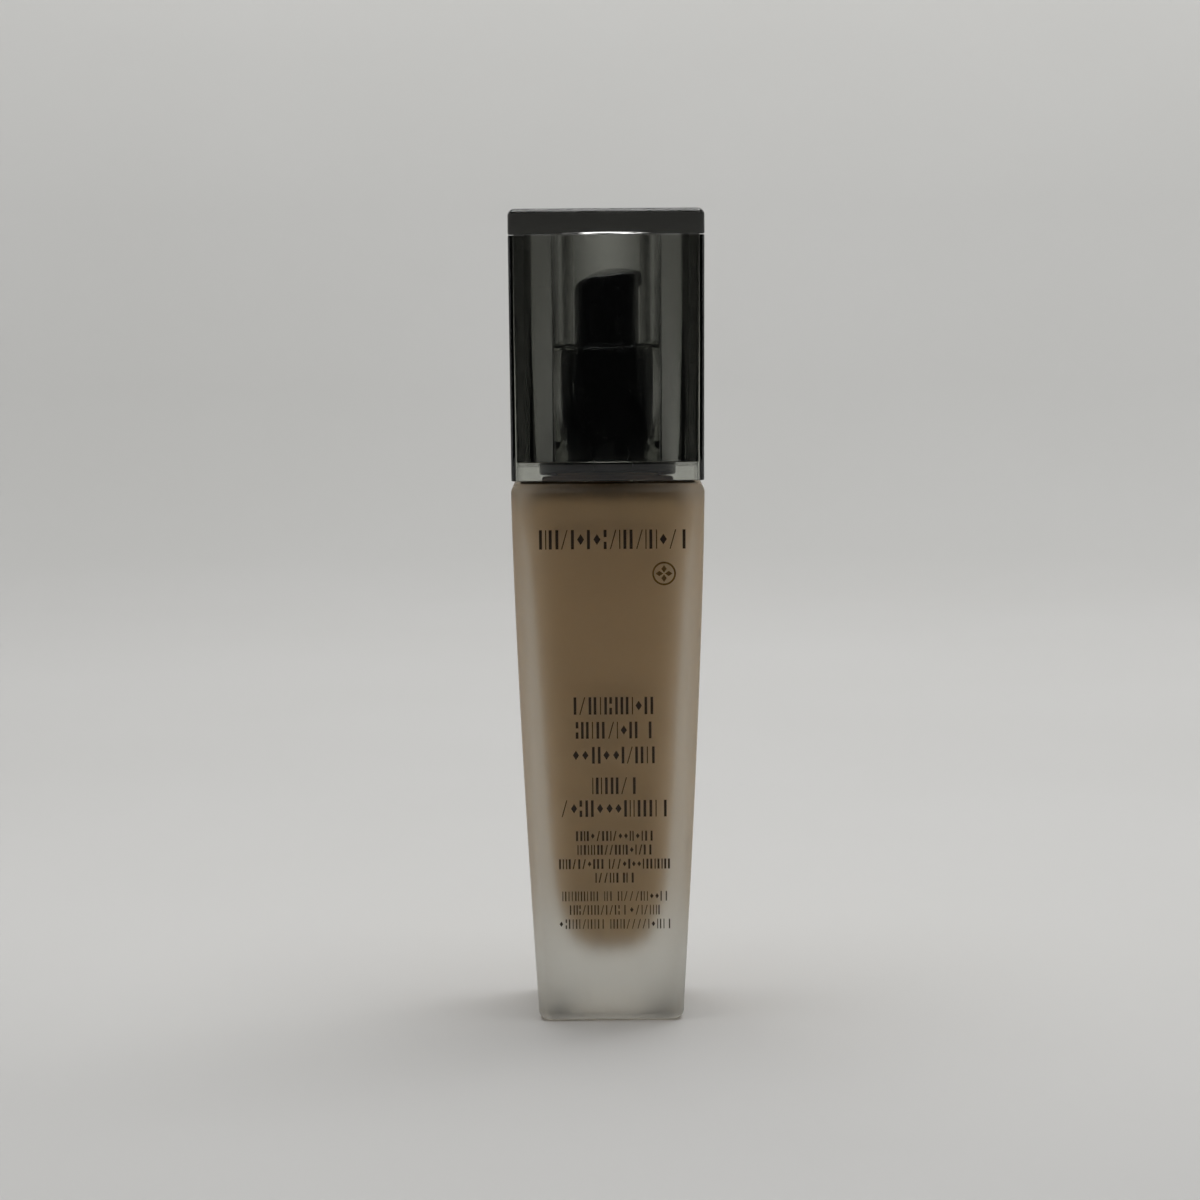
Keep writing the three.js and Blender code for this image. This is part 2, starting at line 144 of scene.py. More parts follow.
def turned(name, profile, closed="loop", count=192):
    """A solid of revolution from [radius, z] points."""
    return skin(name, [round_ring(r, z, count) for r, z in profile], closed)


def cut_away(target, cutters):
    """Takes the cutters out of target and removes them."""
    for cutter in cutters:
        boolean = target.modifiers.new("cut", "BOOLEAN")
        boolean.operation = "DIFFERENCE"
        boolean.solver = "EXACT"
        boolean.object = cutter
    graph = bpy.context.evaluated_depsgraph_get()
    cut = bpy.data.meshes.new_from_object(target.evaluated_get(graph))
    target.modifiers.clear()
    target.data = cut
    cut.shade_smooth()
    cut.set_sharp_from_angle(angle=math.radians(32))
    for cutter in cutters:
        bpy.data.objects.remove(cutter)


# ---------------------------------------------------------------- materials


ACRYLIC_IOR = 1.49
GLASS_IOR = 1.5


def new_material(name):
    made = bpy.data.materials.new(name)
    made.use_nodes = True
    tree = made.node_tree
    return made, tree, tree.nodes["Principled BSDF"]


def noise(tree, scale, detail=3.0, rough=0.5, stretch=(1, 1, 1)):
    """A noise pattern in the object's own metres, so it stays with the piece."""
    place = tree.nodes.new("ShaderNodeTexCoord")
    mapping = tree.nodes.new("ShaderNodeMapping")
    mapping.inputs["Scale"].default_value = stretch
    pattern = tree.nodes.new("ShaderNodeTexNoise")
    pattern.inputs["Scale"].default_value = scale
    pattern.inputs["Detail"].default_value = detail
    pattern.inputs["Roughness"].default_value = rough
    tree.links.new(place.outputs["Object"], mapping.inputs["Vector"])
    tree.links.new(mapping.outputs["Vector"], pattern.inputs["Vector"])
    return pattern.outputs["Fac"]


def spread(tree, source, low, high, start=0.3, end=0.7):
    """Maps a pattern to run from low to high."""
    ramp = tree.nodes.new("ShaderNodeMapRange")
    ramp.inputs["From Min"].default_value = start
    ramp.inputs["From Max"].default_value = end
    ramp.inputs["To Min"].default_value = low
    ramp.inputs["To Max"].default_value = high
    tree.links.new(source, ramp.inputs["Value"])
    return ramp.outputs["Result"]


def colour_between(tree, source, low, high):
    ramp = tree.nodes.new("ShaderNodeValToRGB")
    ramp.color_ramp.elements[0].position = 0.3
    ramp.color_ramp.elements[0].color = (*low, 1)
    ramp.color_ramp.elements[1].position = 0.7
    ramp.color_ramp.elements[1].color = (*high, 1)
    tree.links.new(source, ramp.inputs["Fac"])
    return ramp.outputs["Color"]


def bump(tree, shader, source, height_mm, strength=1.0):
    node = tree.nodes.new("ShaderNodeBump")
    node.inputs["Distance"].default_value = height_mm * MM
    node.inputs["Strength"].default_value = strength
    tree.links.new(source, node.inputs["Height"])
    tree.links.new(node.outputs["Normal"], shader.inputs["Normal"])


def absorb(tree, colour, per_mm):
    """Tints a clear body by its depth."""
    volume = tree.nodes.new("ShaderNodeVolumeAbsorption")
    volume.inputs["Color"].default_value = (*colour, 1)
    volume.inputs["Density"].default_value = per_mm / MM
    tree.links.new(volume.outputs["Volume"], tree.nodes["Material Output"].inputs["Volume"])


def clear_acrylic(name, tint=None, per_mm=0.0, smear=0.03):
    """Polished clear plastic with a few faint smears."""
    made, tree, shader = new_material(name)
    shader.inputs["Base Color"].default_value = (1, 1, 1, 1)
    shader.inputs["Transmission Weight"].default_value = 1
    shader.inputs["IOR"].default_value = ACRYLIC_IOR
    smears = noise(tree, 90, 2, 0.5, (1, 1, 0.35))
    tree.links.new(spread(tree, smears, 0.0, smear, 0.55, 0.8), shader.inputs["Roughness"])
    if tint:
        absorb(tree, tint, per_mm)
    return made


def frosted(name, low, high):
    """Acid-etched glass: a fine soft grain that scatters what is behind it."""
    made, tree, shader = new_material(name)
    grain = noise(tree, 2600, 2, 0.6)
    cloud = noise(tree, 60, 3, 0.5)
    tree.links.new(colour_between(tree, cloud, low, high), shader.inputs["Base Color"])
    tree.links.new(spread(tree, cloud, 0.74, 0.80), shader.inputs["Roughness"])
    shader.inputs["Transmission Weight"].default_value = 1
    shader.inputs["IOR"].default_value = GLASS_IOR
    bump(tree, shader, grain, 0.01, 0.25)
    absorb(tree, (0.5, 0.48, 0.36), 0.012)
    return made


def polished_glass(name):
    made, tree, shader = new_material(name)
    shader.inputs["Base Color"].default_value = (1, 1, 1, 1)
    shader.inputs["Transmission Weight"].default_value = 1
    shader.inputs["IOR"].default_value = GLASS_IOR
    waves = noise(tree, 120, 2)
    tree.links.new(spread(tree, waves, 0.0, 0.03), shader.inputs["Roughness"])
    return made


def creamy_fluid(name):
    made, tree, shader = new_material(name)
    swirl = noise(tree, 70, 3, 0.5, (1, 1, 0.4))
    tree.links.new(
        colour_between(tree, swirl, (0.73, 0.505, 0.275), (0.77, 0.535, 0.295)),
        shader.inputs["Base Color"],
    )
    tree.links.new(spread(tree, swirl, 0.32, 0.42), shader.inputs["Roughness"])
    return made


def moulded(name, low, high, rough, grain_mm=0.004, gloss=0.5):
    """Moulded plastic: slight colour and gloss variation and a very fine surface ripple."""
    made, tree, shader = new_material(name)
    cloud = noise(tree, 140, 3)
    tree.links.new(colour_between(tree, cloud, low, high), shader.inputs["Base Color"])
    tree.links.new(spread(tree, cloud, rough * 0.85, rough * 1.15), shader.inputs["Roughness"])
    shader.inputs["Specular IOR Level"].default_value = gloss
    bump(tree, shader, noise(tree, 900, 2), grain_mm, 0.3)
    return made


def bright_steel(name):
    made, tree, shader = new_material(name)
    drawn = noise(tree, 500, 2, 0.5, (1, 1, 6))
    tree.links.new(
        colour_between(tree, drawn, (0.55, 0.56, 0.58), (0.68, 0.69, 0.71)),
        shader.inputs["Base Color"],
    )
    shader.inputs["Metallic"].default_value = 1
    tree.links.new(spread(tree, drawn, 0.15, 0.3), shader.inputs["Roughness"])
    return made


def printed(name, low, high, rough, metallic=0.0):
    """Screen-printed ink, a little uneven in its cover."""
    made, tree, shader = new_material(name)
    cover = noise(tree, 1800, 3)
    tree.links.new(colour_between(tree, cover, low, high), shader.inputs["Base Color"])
    tree.links.new(spread(tree, cover, rough * 0.9, rough * 1.1), shader.inputs["Roughness"])
    shader.inputs["Metallic"].default_value = metallic
    return made


SMOKE = (0.02, 0.02, 0.0)
CLEAR_TINT = (0.1, 0.12, 0.0)
glass_outside = frosted("frosted_glass", (0.80, 0.795, 0.77), (0.84, 0.835, 0.81))
# Painted shade: the frost above the shoulder is tinted dark brown to stand in for the shadow under
# the collar and cap.
shaded_neck_glass = frosted("frosted_neck_painted_shade", (0.36, 0.25, 0.18), (0.42, 0.30, 0.22))
glass_inside = polished_glass("polished_glass")
cream = creamy_fluid("foundation_cream")
clear = clear_acrylic("clear_acrylic", CLEAR_TINT, 0.52)
clear_inner = clear_acrylic("clear_acrylic_inner", CLEAR_TINT, 0.02, 0.006)
smoked = clear_acrylic("smoked_acrylic", SMOKE, 0.10, 0.006)
black = moulded("gloss_black", (0.006, 0.006, 0.008), (0.009, 0.009, 0.012), 0.2, 0.002, 0.3)
natural = moulded("natural_plastic", (0.72, 0.72, 0.68), (0.80, 0.80, 0.76), 0.42)
soft_white = moulded("soft_seal", (0.60, 0.60, 0.57), (0.68, 0.68, 0.65), 0.55)
steel = bright_steel("bright_steel")
ink = printed("dark_ink", (0.024, 0.012, 0.006), (0.036, 0.020, 0.011), 0.55)
gold = printed("gold_ink", (0.17, 0.105, 0.034), (0.23, 0.145, 0.05), 0.42, 0.3)

# ---------------------------------------------------------------- glass bottle

glass_high = size_of("glass_bottle")[1]
BODY_HALF = glass_high.x
BASE_HALF = 11.78
SHOULDER_Z = 88.3
TAPER_POWER = 1.37
BODY_CORNER = 2.4
FOOT_EDGE = 1.4
SHOULDER_EDGE = 1.5
RECESS_RADIUS = 7.6
RECESS_DEPTH = 0.6
BOSS_RADIUS = 10.8
NECK_RADIUS = 8.4
NECK_BEAD = 9.2
NECK_BORE = 5.4
NECK_TOP = glass_high.z

# The inside: [z, half width] of a rounded square, from the round-bottomed well to the shoulder.
CAVITY_CORNER = 0.4  # corner radius as a share of the half width
CAVITY = [
    (10.6, 2.9),
    (11.2, 4.4),
    (12.4, 5.9),
    (14.5, 7.2),
    (17.5, 8.3),
    (21.5, 9.2),
    (33, 10.2),
    (46, 10.9),
    (58, 11.6),
    (68, 12.2),
    (77, 12.9),
    (84.6, 13.9),
    (86.3, 13.4),
    (87, 12.1),
]


def body_half(z):
    drop = max(0.0, 1 - z / SHOULDER_Z) ** TAPER_POWER
    return BODY_HALF - (BODY_HALF - BASE_HALF) * drop


def body_ring(z, inset=0.0):
    half = body_half(z) - inset
    return square_ring(half, BODY_CORNER * body_half(z) / BODY_HALF - inset * 0.6, z)


def smooth_cavity(steps_between=4):
    """The cavity's stations with points filled in between on a smooth curve."""
    z = np.array([p[0] for p in CAVITY])
    half = np.array([p[1] for p in CAVITY])
    along = np.concatenate([[0], np.cumsum(np.hypot(np.diff(z), np.diff(half)))])
    fine = np.unique(
        np.concatenate(
            [np.linspace(a, b, steps_between + 1) for a, b in zip(along[:-1], along[1:])]
        )
    )
    return list(zip(monotone(along, z, fine), monotone(along, half, fine)))


def monotone(x, y, at):
    """A smooth curve through points that never overshoots them."""
    step, rise = np.diff(x), np.diff(y)
    slope = rise / step
    tangent = np.zeros(len(x))
    tangent[1:-1] = (slope[:-1] + slope[1:]) / 2
    tangent[0], tangent[-1] = slope[0], slope[-1]
    tangent[1:-1][slope[:-1] * slope[1:] <= 0] = 0
    k = np.clip(np.searchsorted(x, at, side="right") - 1, 0, len(step) - 1)
    t = (at - x[k]) / step[k]
    return (
        (2 * t**3 - 3 * t**2 + 1) * y[k]
        + (t**3 - 2 * t**2 + t) * step[k] * tangent[k]
        + (3 * t**2 - 2 * t**3) * y[k + 1]
        + (t**3 - t**2) * step[k] * tangent[k + 1]
    )


def bottle_rings():
    """The outside from the base's recess up to the lip, then down the bore and the cavity.

    Also returns how many rings make up the body, and how many the whole outside."""
    recess = [
        (RECESS_RADIUS - 1.4, RECESS_DEPTH),
        *arc_points((RECESS_RADIUS - 1.0, RECESS_DEPTH - 0.3), 0.3, 90, 20, 4),
        *arc_points((RECESS_RADIUS + 0.2, 0.35), 0.35, 200, 270, 4),
    ]
    rings = [round_ring(r, z) for r, z in recess]
    rings += [body_ring(up, inset) for up, inset in edge_steps(FOOT_EDGE)]
    rings += [body_ring(z) for z in np.linspace(FOOT_EDGE, SHOULDER_Z - SHOULDER_EDGE, 18)[1:-1]]
    rings += [body_ring(SHOULDER_Z - down, inset) for inset, down in edge_steps(SHOULDER_EDGE)]
    shoulder = len(rings) - 1
    bead = NECK_TOP - 3.6
    neck = [
        *arc_points((BOSS_RADIUS + 0.3, SHOULDER_Z + 0.3), 0.3, 270, 180, 4),
        *arc_points((BOSS_RADIUS - 0.4, SHOULDER_Z + 1.3), 0.4, 0, 85, 5),
        *arc_points((NECK_RADIUS + 0.3, SHOULDER_Z + 2.05), 0.3, 250, 180, 4),
        (NECK_RADIUS, bead),
        (NECK_BEAD - 0.1, bead + 0.7),
        (NECK_BEAD, bead + 0.9),
        (NECK_BEAD, NECK_TOP - 1.3),
        (NECK_BEAD - 0.1, NECK_TOP - 1.0),
        *arc_points((NECK_RADIUS - 0.3, NECK_TOP - 0.3), 0.3, 45, 90, 3),
    ]
    rings += [round_ring(r, z) for r, z in neck]
    outside = len(rings)
    ceiling = CAVITY[-1][0]
    bore = [
        *arc_points((NECK_BORE + 0.2, NECK_TOP - 0.2), 0.2, 90, 180, 3),
        *arc_points((NECK_BORE + 0.2, ceiling + 0.2), 0.2, 180, 270, 3),
    ]
    rings += [round_ring(r, z) for r, z in bore]
    rings += [square_ring(h, h * CAVITY_CORNER, z) for z, h in reversed(smooth_cavity())]
    return rings, shoulder, outside


def make_bottle():
    """Frosted outside, polished inside, and above the shoulder a darker brown frost that is painted
    shade for the shadow under the collar.
    """
    rings, shoulder, outside = bottle_rings()
    bottle = skin("bottle_glass", rings)
    for material in (glass_outside, glass_inside, shaded_neck_glass):
        bottle.data.materials.append(material)
    body_slot, inside_slot, painted_shade_neck_slot = 0, 1, 2
    body_faces = shoulder * RING_POINTS
    outside_faces = (outside - 1) * RING_POINTS
    base_face = (len(rings) - 1) * RING_POINTS
    # The faces above the shoulder get the frost with the painted shade.
    for face in bottle.data.polygons:
        if face.index < body_faces or face.index == base_face:
            face.material_index = body_slot
        else:
            face.material_index = painted_shade_neck_slot if face.index < outside_faces else inside_slot
    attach(bottle, "bottle")
    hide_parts("glass_bottle")


WETTED = 0.05  # how far the fluid reaches into the glass, so that no film of air shows
HOUSING_ROOM = 5.25  # radii of the hollow that the pump takes up in the fluid
BARREL_ROOM = 3.35
TUBE_ROOM = 2.0


def make_fluid():
    """The cream wets the glass all over. It leaves room for the pump's barrel and dip tube."""
    barrel = size_of("pump_housing")[0].z
    tube_low = size_of("dip_tube")[0].z
    floor_z, ceiling_z = CAVITY[0][0] - WETTED, CAVITY[-1][0] + WETTED
    rings = [square_ring(h + WETTED, h * CAVITY_CORNER, z) for z, h in smooth_cavity()]
    rings[0] = [(x, y, floor_z) for x, y, _ in rings[0]]
    rings[-1] = [(x, y, ceiling_z) for x, y, _ in rings[-1]]
    inner = [
        (NECK_BORE + 0.3, ceiling_z),
        (HOUSING_ROOM, ceiling_z - 0.4),
        (HOUSING_ROOM, barrel + 10.9),
        (BARREL_ROOM, barrel + 8),
        (BARREL_ROOM, barrel - 0.3),
        (TUBE_ROOM, barrel - 0.3),
        (TUBE_ROOM, tube_low - 0.3),
    ]
    rings += [round_ring(r, z) for r, z in inner]
    fluid = skin("foundation_cream", rings)
    fluid.data.materials.append(cream)
    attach(fluid, "bottle")
    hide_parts("foundation_fluid")


# ---------------------------------------------------------------- over-cap

SEAM = 0.02  # between the sleeve and the core's block
core_low, core_high = size_of("cap_core")
sleeve_low, sleeve_high = size_of("cap_sleeve")
liner_low, liner_high = size_of("cap_liner")
CAP_HALF = core_high.x
CAP_FOOT = 15.42
CAP_CORNER = 1.0
SLEEVE_WALL = 0.8
BLOCK_HALF = CAP_HALF - SLEEVE_WALL - SEAM
BLOCK_FOOT = CAP_FOOT - SLEEVE_WALL - SEAM
BLOCK_CORNER = 0.3
PLATE_LOW = 127.9
PLATE_EDGE = 1.1
CORE_BORE = 13.3
CEILING = 128.5
LINER_OUTER = liner_high.x
HEAD_ROOM = 12.2


def make_cap_core():
    """A top plate with soft edges over a square block, bored out from below."""
    rings = [
        square_ring(CAP_HALF - inset, CAP_CORNER - inset * 0.5, core_high.z - down)
        for down, inset in edge_steps(PLATE_EDGE)
    ]
    rings += [
        square_ring(CAP_HALF - h, CAP_CORNER - h * 0.5, z)
        for h, z in [(0, PLATE_LOW + 0.18), (0.05, PLATE_LOW + 0.05), (0.18, PLATE_LOW)]
    ]
    rings += [
        square_ring(BLOCK_HALF, BLOCK_CORNER, PLATE_LOW),
        square_ring(BLOCK_FOOT, BLOCK_CORNER, core_low.z + 0.2),
        square_ring(BLOCK_FOOT - 0.06, BLOCK_CORNER - 0.03, core_low.z + 0.06),
        square_ring(BLOCK_FOOT - 0.2, BLOCK_CORNER - 0.1, core_low.z),
    ]
    bore = [
        *arc_points((CORE_BORE + 0.15, core_low.z + 0.15), 0.15, 270, 180, 3),
        *arc_points((CORE_BORE - 0.5, CEILING - 0.5), 0.5, 0, 90, 6),
        (CORE_BORE * 0.5, CEILING),
    ]
    rings += [round_ring(r, z) for r, z in bore]
    core = skin("cap_smoked_core", rings)
    core.data.materials.append(smoked)
    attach(core, "cap")
    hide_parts("cap_core")


def make_cap_sleeve():
    """A clear square tube, a little wider at the top than at the foot."""
    corner, low, high, edge = CAP_CORNER, sleeve_low.z, sleeve_high.z, 0.14
    inner_corner = corner - 0.6
    rings = []
    for half, radius, z in [
        (CAP_FOOT - edge, corner - edge / 2, low),
        (CAP_FOOT - edge * 0.3, corner, low + edge * 0.3),
        (CAP_FOOT, corner, low + edge),
        (CAP_HALF, corner, high - edge),
        (CAP_HALF - edge * 0.3, corner, high - edge * 0.3),
        (CAP_HALF - edge, corner - edge / 2, high),
        (CAP_HALF - SLEEVE_WALL + edge, inner_corner + edge / 2, high),
        (CAP_HALF - SLEEVE_WALL, inner_corner, high - edge),
        (CAP_FOOT - SLEEVE_WALL, inner_corner, low + edge),
        (CAP_FOOT - SLEEVE_WALL + edge, inner_corner + edge / 2, low),
    ]:
        rings.append(square_ring(half, radius, z))
    sleeve = skin("cap_clear_sleeve", rings, "loop")
    sleeve.data.materials.append(clear)
    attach(sleeve, "cap")
    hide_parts("cap_sleeve")


def make_cap_liner():
    """A thick foot that grips the collar and a thinner wall above it, round the head."""
    grip = collar_radius + 0.15
    profile = [
        (grip + 0.35, liner_low.z),
        (LINER_OUTER - 0.1, liner_low.z),
        (LINER_OUTER, liner_low.z + 0.1),
        (LINER_OUTER, liner_high.z - 0.15),
        (LINER_OUTER - 0.15, liner_high.z),
        (HEAD_ROOM + 0.15, liner_high.z),
        (HEAD_ROOM, liner_high.z - 0.15),
        (HEAD_ROOM, collar_top + 0.8),
        (HEAD_ROOM - 0.06, collar_top + 0.64),
        (grip + 0.06, collar_top - 0.14),
        (grip, collar_top - 0.3),
        (grip, liner_low.z + 0.6),
    ]
    liner = turned("cap_clear_liner", profile)
    liner.data.materials.append(clear_inner)
    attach(liner, "cap")
    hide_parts("cap_liner")


# ---------------------------------------------------------------- collar and press head

collar_low, collar_high = size_of("collar")
collar_radius, collar_top = collar_high.x, collar_high.z
head_low, head_high = size_of("press_head")
HEAD_RADIUS = -head_low.x
SPOUT_REACH = head_high.x
HEAD_TOP = head_high.z
SKIRT_BORE = 6.9
ROOF_Z = 116.3  # underside of the head's solid top
OUTLET_Z = 120.1


def make_collar():
    """A tall sleeve, very slightly narrower at the top, with a lip round the head."""
    low, top = collar_low.z, collar_top
    bore = collar_radius - 1.1
    upper = collar_radius - 0.05
    hole = HEAD_RADIUS + 0.3
    profile = [
        (bore, low),
        *arc_points((collar_radius - 0.4, low + 0.4), 0.4, 270, 360, 8),
        *arc_points((upper - 0.35, top - 0.35), 0.35, 0, 90, 6),
        *arc_points((hole + 0.15, top - 0.15), 0.15, 90, 180, 3),
        (hole, top - 1.3),
        (bore, top - 1.3),
    ]
    collar = turned("collar_shell", profile)
    collar.data.materials.append(black)
    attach(collar, "bottle")
    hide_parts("collar")


def bezier(points, steps):
    """A quadratic curve through [start, control, end]."""
    a, b, c = (np.array(p, float) for p in points)
    t = np.linspace(0, 1, steps)[:, None]
    return (1 - t) ** 2 * a + 2 * t * (1 - t) * b + t**2 * c


# The crown's side view, from the back over the middle and down to the tip of the beak.
CROWN_BACK = (-HEAD_RADIUS, HEAD_TOP - 3.3)
CROWN_MIDDLE = (0.3, HEAD_TOP - 0.15)
CROWN_FRONT = (7.4, HEAD_TOP - 0.25)
CROWN_TIP = (SPOUT_REACH, HEAD_TOP - 1.5)
CROWN = np.concatenate(
    [
        bezier([CROWN_BACK, (-6.4, HEAD_TOP - 0.9), CROWN_MIDDLE], 30),
        bezier([CROWN_MIDDLE, (3.4, HEAD_TOP + 0.15), CROWN_FRONT], 20)[1:],
        bezier([CROWN_FRONT, (8.8, HEAD_TOP - 0.45), CROWN_TIP], 12)[1:],
    ]
)
BEAK_Z = HEAD_TOP - 3.5
BEAK_HALF = 2.6
CROWN_EDGE = 0.55
CROWN_DOME = 0.4


def crown_height(x, y):
    """The crown follows its side view and falls off a little to both sides."""
    return float(np.interp(x, CROWN[:, 0], CROWN[:, 1])) - CROWN_DOME * (y / HEAD_RADIUS) ** 2


def head_column(angle):
    """The head's surface along one direction in plan, from the skirt's foot to the crown."""
    across = abs(SPOUT_REACH * math.sin(angle)) / BEAK_HALF
    beak = (1 - across**2) ** 2 if math.cos(angle) > 0 and across < 1 else 0.0
    reach = (SPOUT_REACH - HEAD_RADIUS) * beak
    c, s = math.cos(angle), math.sin(angle)
    edge_z = crown_height((HEAD_RADIUS + reach) * c, (HEAD_RADIUS + reach) * s)
    heights = [head_low.z, head_low.z + 4, BEAK_Z - 1.2]
    heights += list(np.linspace(BEAK_Z - 1.2, edge_z - CROWN_EDGE, 12)[1:])
    column = []
    for z in heights:
        t = min(1.0, max(0.0, (z - BEAK_Z) / 1.1))
        column.append((HEAD_RADIUS + reach * (1 - math.sqrt(1 - t * t)), z))
    rim = column[-1][0]
    for k in range(1, 7):
        a = math.pi / 2 * k / 6
        r = rim - CROWN_EDGE * (1 - math.cos(a))
        roll = CROWN_EDGE * (1 - math.sin(a))
        column.append((r, crown_height(r * c, r * s) - roll))
    inner = column[-1][0]
    for share in np.linspace(1, 0.04, 16)[1:]:
        r = inner * share
        column.append((r, crown_height(r * c, r * s)))
    return [(r * c, r * s, z) for r, z in column]


def make_head():
    """The shell: a barrel and beak, hollow below its roof, with the channel and outlet cut."""
    count = 240
    columns = [head_column(2 * math.pi * k / count) for k in range(count)]
    rings = [[column[i] for column in columns] for i in range(len(columns[0]))]
    angles = [2 * math.pi * k / count for k in range(count)]

    def inside(radius, z):
        return [(radius * math.cos(a), radius * math.sin(a), z) for a in angles]

    hollow = [
        inside(0.5, ROOF_Z),
        inside(SKIRT_BORE - 0.2, ROOF_Z),
        inside(SKIRT_BORE, ROOF_Z - 0.2),
        inside(SKIRT_BORE, head_low.z + 0.15),
        inside(SKIRT_BORE + 0.15, head_low.z),
        inside(HEAD_RADIUS - 0.2, head_low.z),
        inside(HEAD_RADIUS - 0.05, head_low.z + 0.06),
    ]
    rings[0] = inside(HEAD_RADIUS, head_low.z + 0.2)
    head = skin("press_head_shell", hollow + rings)
    channel = skin("channel", [round_ring(2.05, ROOF_Z - 1, 48), round_ring(2.05, 120.7, 48)])
    tube = lying_cylinder("tube", 0, 6.3, OUTLET_Z, 1.0)
    outlet = lying_cylinder("outlet", 6, SPOUT_REACH + 1, OUTLET_Z, 0.45)
    cut_away(head, [channel, tube, outlet])
    head.data.materials.clear()
    head.data.materials.append(black)
    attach(head, "head")
    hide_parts("press_head")


def lying_cylinder(name, start, end, z, radius, count=40):
    """A round bar along X."""
    turns = [2 * math.pi * k / count for k in range(count)]
    rings = [
        [(x, radius * math.cos(a), z + radius * math.sin(a)) for a in turns] for x in (start, end)
    ]
    return skin(name, rings)


# ---------------------------------------------------------------- return spring


def make_spring():
    """The coil, resting on its seat."""
    low, high = size_of("return_spring")
    wire = 0.3
    radius = high.x - wire
    bottom, top = low.z + wire, high.z - wire
    turns, per_turn, around = 5.5, 40, 10
    total = int(turns * per_turn)
    rings = []
    for i in range(total + 1):
        angle = 2 * math.pi * i / per_turn
        z = bottom + (top - bottom) * i / total
        out = Vector((math.cos(angle), math.sin(angle), 0))
        ring = []
        for k in range(around):
            a = 2 * math.pi * k / around
            p = out * (radius + wire * math.cos(a))
            ring.append((p.x, p.y, z + wire * math.sin(a)))
        rings.append(ring)
    spring = skin("pump_spring", rings)
    spring.data.materials.append(steel)
    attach(spring, "bottle")
    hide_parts("return_spring")
    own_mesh(spring)


# ---------------------------------------------------------------- print on the front face

INK_THICKNESS = 0.03
PRINT_CENTRE = 0.65  # the print sits this far to the right of the middle


def front_point(x, z, out):
    """A point on the front face, out millimetres proud of the glass."""
    return x, -(body_half(z) + out), z


def plate(outlines):
    """Vertices and faces of thin plates on the front face, from convex [x, z] outlines."""
    vertices, faces = [], []
    for outline in outlines:
        first, count = len(vertices), len(outline)
        for out in (INK_THICKNESS, -0.02):
            vertices += [tuple(MM * c for c in front_point(x, z, out)) for x, z in outline]
        front = [first + k for k in range(count)]
        back = [first + count + k for k in range(count)]
        faces += [tuple(front), tuple(back[::-1])]
        faces += [
            (back[k], back[(k + 1) % count], front[(k + 1) % count], front[k]) for k in range(count)
        ]
    return vertices, faces


def upright(x0, x1, z0, z1):
    return [(x0, z0), (x1, z0), (x1, z1), (x0, z1)]


THICK_STROKE, THIN_STROKE, LOZENGE, SPLIT_STROKE, SLANT = range(5)


def ornamental_run(rng, x0, x1, z0, z1, thick, thin, gap):
    """Outlines of strokes and small lozenges that fill a strip. It holds no letters."""
    tall = z1 - z0
    middle = (z0 + z1) / 2
    outlines, x = [], x0
    while x < x1 - thick:
        kind = rng.choice(5, p=[0.38, 0.28, 0.13, 0.07, 0.14])
        if kind == THICK_STROKE:
            width = thick
            outlines.append(upright(x, x + width, z0, z1))
        elif kind == THIN_STROKE:
            width = thin
            outlines.append(upright(x, x + width, z0, z1))
        elif kind == LOZENGE:
            width = 0.36 * tall
            c = x + width / 2
            low, high = z0 + 0.22 * tall, z1 - 0.22 * tall
            outlines.append([(c, low), (x + width, middle), (c, high), (x, middle)])
        elif kind == SPLIT_STROKE:
            width = thick
            outlines.append(upright(x, x + width, z0, z0 + 0.38 * tall))
            outlines.append(upright(x, x + width, z1 - 0.38 * tall, z1))
        elif kind == SLANT:
            width = 0.34 * tall
            far = x + width
            outlines.append([(x, z0), (x + thin, z0), (far, z1), (far - thin, z1)])
        x += width + gap * rng.uniform(0.8, 1.25)
    limit = x1 - thick - 0.6 * gap  # leaves room for the stroke that ends the strip
    kept = [o for o in outlines if max(p[0] for p in o) < limit]
    return [*kept, upright(x1 - thick, x1, z0, z1)]


# Each row: top z, bottom z, runs as (start, end) shares of the row, half width, thick, thin, gap
ROWS = [
    (81.0, 77.9, [(0, 1)], 11.7, 0.46, 0.17, 0.5),
    (53.9, 51.05, [(0, 1)], 6.4, 0.42, 0.17, 0.48),
    (49.85, 47.1, [(0, 1)], 6.1, 0.42, 0.17, 0.48),
    (45.75, 43.0, [(0, 1)], 6.6, 0.42, 0.17, 0.48),
    (40.7, 37.95, [(0, 1)], 3.5, 0.42, 0.17, 0.46),
    (36.95, 34.2, [(0, 1)], 8.5, 0.42, 0.17, 0.48),
    (31.85, 30.2, [(0, 1)], 6.2, 0.32, 0.2, 0.3),
    (29.55, 27.9, [(0, 1)], 6.0, 0.32, 0.2, 0.3),
    (27.2, 25.55, [(0, 0.4), (0.45, 1)], 9.0, 0.32, 0.2, 0.3),
    (24.9, 23.25, [(0, 0.6), (0.72, 1)], 3.1, 0.32, 0.2, 0.3),
    (21.8, 20.2, [(0, 0.34), (0.4, 0.47), (0.53, 1)], 8.5, 0.2, 0.14, 0.34),
    (19.5, 17.9, [(0, 0.62), (0.67, 1)], 7.3, 0.2, 0.14, 0.34),
    (17.15, 15.55, [(0, 0.4), (0.46, 1)], 9.0, 0.2, 0.14, 0.34),
]


def make_print():
    rng = np.random.default_rng(11)
    outlines = []
    for top, bottom, runs, half, thick, thin, gap in ROWS:
        left = PRINT_CENTRE - half
        for start, end in runs:
            x0, x1 = left + 2 * half * start, left + 2 * half * end
            outlines += ornamental_run(rng, x0, x1, bottom, top, thick, thin, gap)
    marks = finished("front_print", *plate(outlines))
    marks.data.materials.append(ink)
    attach(marks, "bottle")


